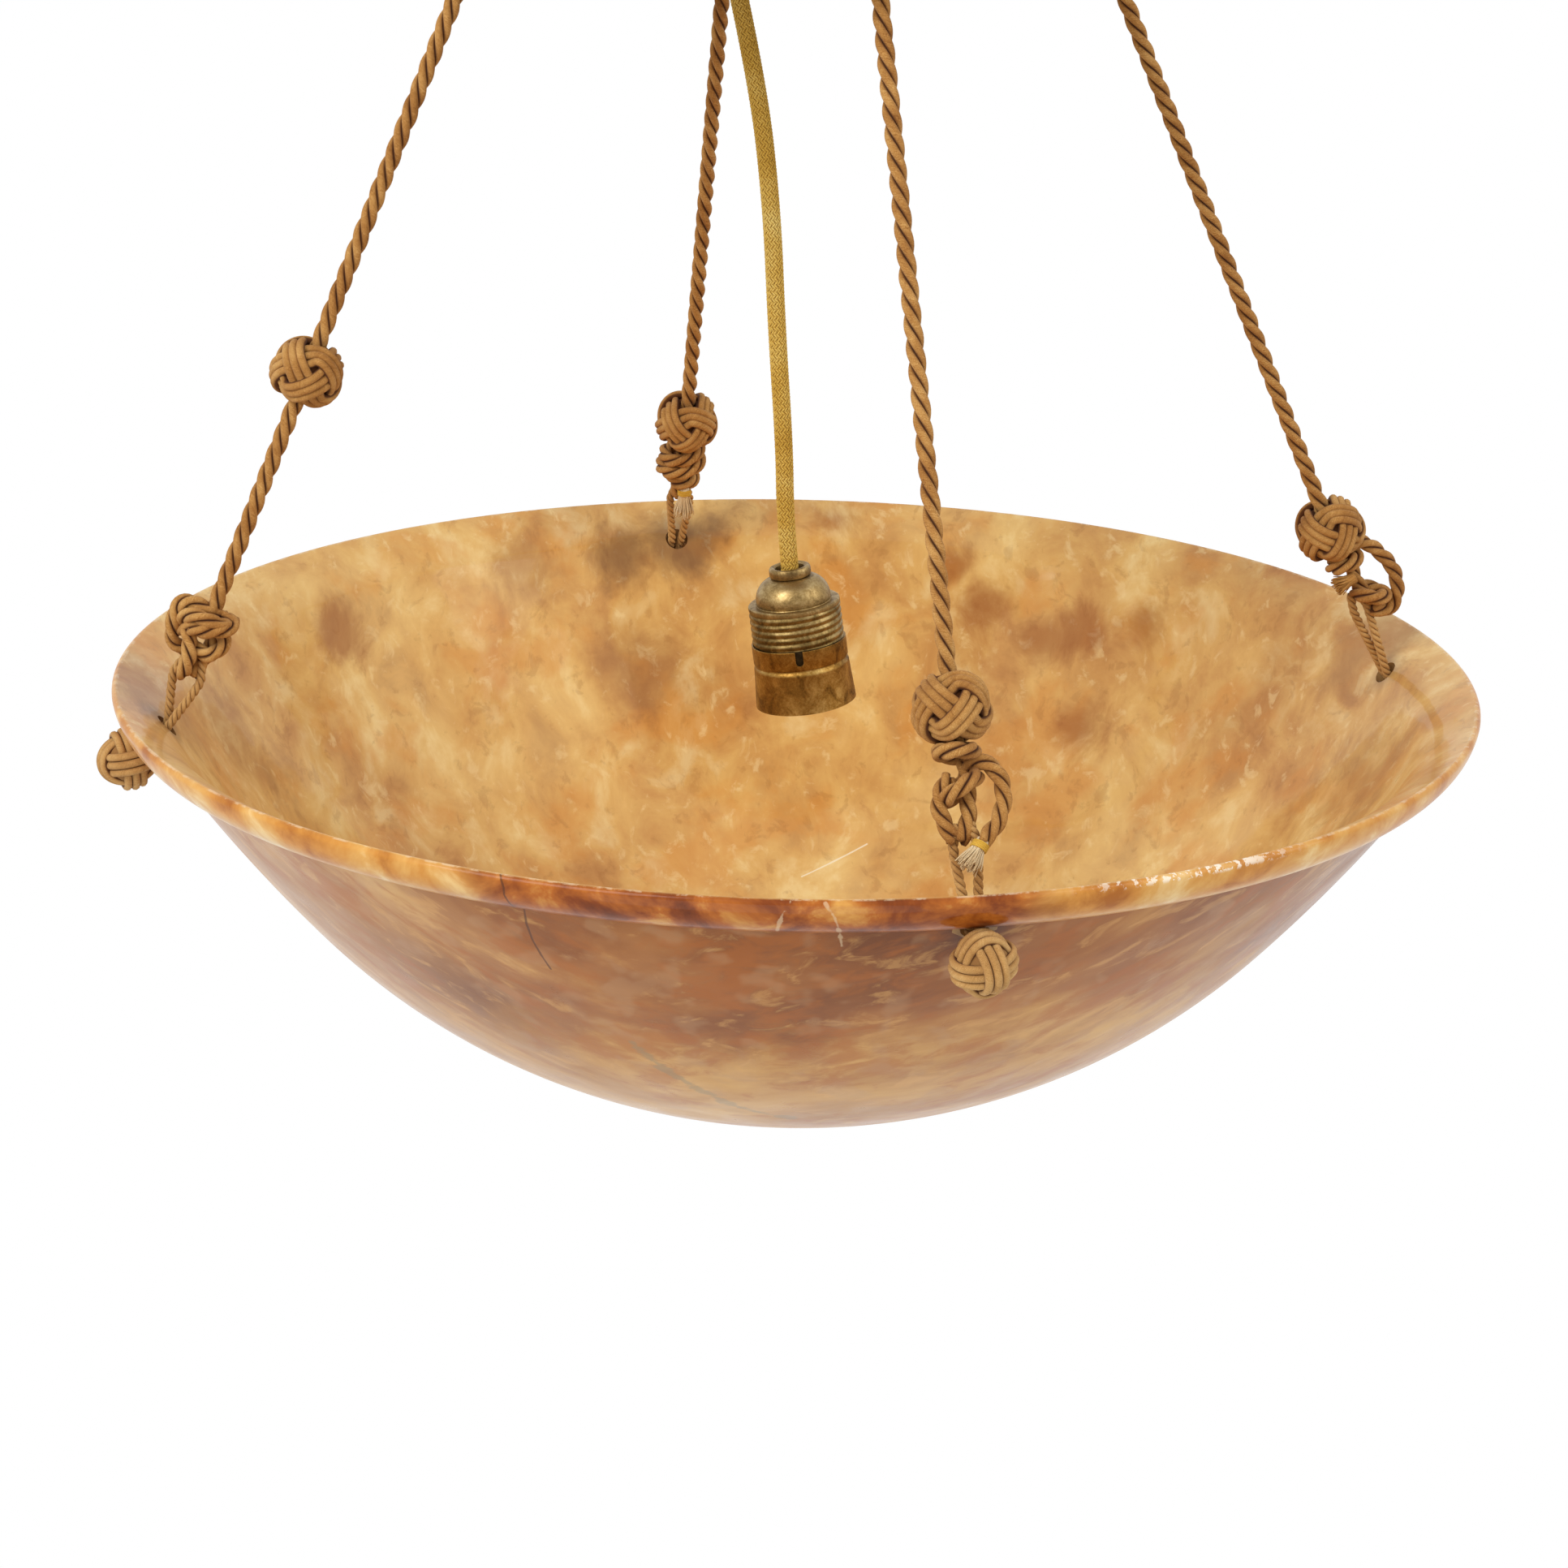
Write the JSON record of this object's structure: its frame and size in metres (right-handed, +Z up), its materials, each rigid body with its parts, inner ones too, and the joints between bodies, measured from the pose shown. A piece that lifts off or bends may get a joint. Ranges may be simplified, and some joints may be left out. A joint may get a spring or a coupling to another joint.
{
  "type": "pendant light",
  "caption": "Alabaster bowl pendant hung from a ceiling canopy on knotted ropes, with a screw lampholder on a braided flex inside.",
  "frame": {"origin": "centre of the ceiling face, midway between the bracket's screw holes, plumb above the bowl's centre of mass", "axes": "+Z up; -Y towards the viewer; +X to the viewer's right"},
  "size_m": [0.5827, 0.582, 0.534],
  "materials": {
    "alabaster": "polished",
    "rope": "laid rope",
    "flex_braid": "braided",
    "aged_brass": "aged",
    "steel": "zinc plated",
    "ceramic": "glazed",
    "insulation": "moulded",
    "core_insulation": "soft",
    "plated_brass": "bright"
  },
  "bodies": {
    "ceiling": {"canopy": "aged_brass", "rope_eyelets": "aged_brass", "ceiling_bracket": "steel", "canopy_nipple": "steel", "canopy_locknut": "steel", "canopy_spacer": "steel", "canopy_finial": "aged_brass", "cord_grip": "aged_brass", "cord_grip_nut": "aged_brass", "terminal_block": "insulation", "terminal_block_screws": "plated_brass", "supply_cores": "core_insulation"},
    "bowl": {"bowl": "alabaster", "right_hanger_loop": "rope", "back_hanger_loop": "rope", "left_hanger_loop": "rope", "front_hanger_loop": "rope", "right_stop_knot": "rope", "back_stop_knot": "rope", "left_stop_knot": "rope", "front_stop_knot": "rope"},
    "right_rope": {"right_rope": "rope", "right_top_knot": "rope", "right_hitch_knot": "rope", "right_tail_loop": "rope", "right_frayed_end": "rope"},
    "right_slide_knot": {"right_slide_knot": "rope"},
    "back_rope": {"back_rope": "rope", "back_top_knot": "rope", "back_hitch_knot": "rope", "back_frayed_end": "rope"},
    "back_slide_knot": {"back_slide_knot": "rope"},
    "left_rope": {"left_rope": "rope", "left_top_knot": "rope", "left_hitch_knot": "rope"},
    "left_slide_knot": {"left_slide_knot": "rope"},
    "front_rope": {"front_rope": "rope", "front_top_knot": "rope", "front_hitch_knot": "rope", "front_tail_loop": "rope", "front_frayed_end": "rope"},
    "front_slide_knot": {"front_slide_knot": "rope"},
    "lampholder": {"flex": "flex_braid", "lamp_collar": "aged_brass", "insulating_bush": "insulation", "dome_cap": "aged_brass", "threaded_shell": "aged_brass", "porcelain_core": "ceramic", "screw_shell": "plated_brass", "contact_foot": "plated_brass", "terminal_screws": "plated_brass", "lamp_cores": "core_insulation"},
    "shade_ring": {"shade_ring": "aged_brass"},
    "centre_contact": {"centre_contact": "plated_brass"}
  },
  "joints": [
    {"name": "bowl_sway", "type": "hinge", "parent": "ceiling", "child": "bowl", "pos_m": [0, 0, 0.262], "axis": [-0.2079, 0.9781, 0], "range_deg": [-2.5, 2.5]},
    {"name": "right_rope_swing", "type": "hinge", "parent": "ceiling", "child": "right_rope", "pos_m": [0.11828, 0.02501, -0.0182], "axis": [-0.2079, 0.9781, 0], "range_deg": [-4.9, 4.9]},
    {"name": "back_rope_swing", "type": "hinge", "parent": "ceiling", "child": "back_rope", "pos_m": [-0.02628, 0.11848, -0.0182], "axis": [-0.2079, 0.9781, 0], "range_deg": [-4.9, 4.9]},
    {"name": "left_rope_swing", "type": "hinge", "parent": "ceiling", "child": "left_rope", "pos_m": [-0.11894, -0.02542, -0.0182], "axis": [-0.2079, 0.9781, 0], "range_deg": [-4.9, 4.9]},
    {"name": "front_rope_swing", "type": "hinge", "parent": "ceiling", "child": "front_rope", "pos_m": [0.0299, -0.11744, -0.0182], "axis": [-0.2079, 0.9781, 0], "range_deg": [-4.9, 4.9]},
    {"name": "right_knot_slide", "type": "slide", "parent": "right_rope", "child": "right_slide_knot", "axis": [-0.3876, -0.082, 0.9182], "range_m": [0, 0.262]},
    {"name": "back_knot_slide", "type": "slide", "parent": "back_rope", "child": "back_slide_knot", "axis": [0.0861, -0.388, 0.9176], "range_m": [0, 0.257]},
    {"name": "left_knot_slide", "type": "slide", "parent": "left_rope", "child": "left_slide_knot", "axis": [0.3894, 0.0832, 0.9173], "range_m": [-0.0912, 0.164]},
    {"name": "front_knot_slide", "type": "slide", "parent": "front_rope", "child": "front_slide_knot", "axis": [-0.098, 0.3847, 0.9178], "range_m": [0, 0.256]},
    {"name": "lamp_swing", "type": "hinge", "parent": "ceiling", "child": "lampholder", "pos_m": [-0.025, 0, -0.046], "axis": [1, 0, 0], "range_deg": [-25, 25]},
    {"name": "shade_ring_turn", "type": "hinge", "parent": "lampholder", "child": "shade_ring", "pos_m": [0.00408, 0, -0.34507], "axis": [0.1219, 0, -0.9925], "range_deg": [-180, 180]},
    {"name": "contact_press", "type": "hinge", "parent": "lampholder", "child": "centre_contact", "pos_m": [-0.00357, 0, -0.33029], "axis": [0, -1, 0], "range_deg": [0, 9], "stiffness_Nm_per_rad": 0.3, "springref_deg": -8.59}
  ],
  "couplings": [
    {"joint": "right_rope_swing", "follows": "bowl_sway", "ratio": 1.8875},
    {"joint": "back_rope_swing", "follows": "bowl_sway", "ratio": 1.8844},
    {"joint": "left_rope_swing", "follows": "bowl_sway", "ratio": 1.8897},
    {"joint": "front_rope_swing", "follows": "bowl_sway", "ratio": 1.8758}
  ]
}
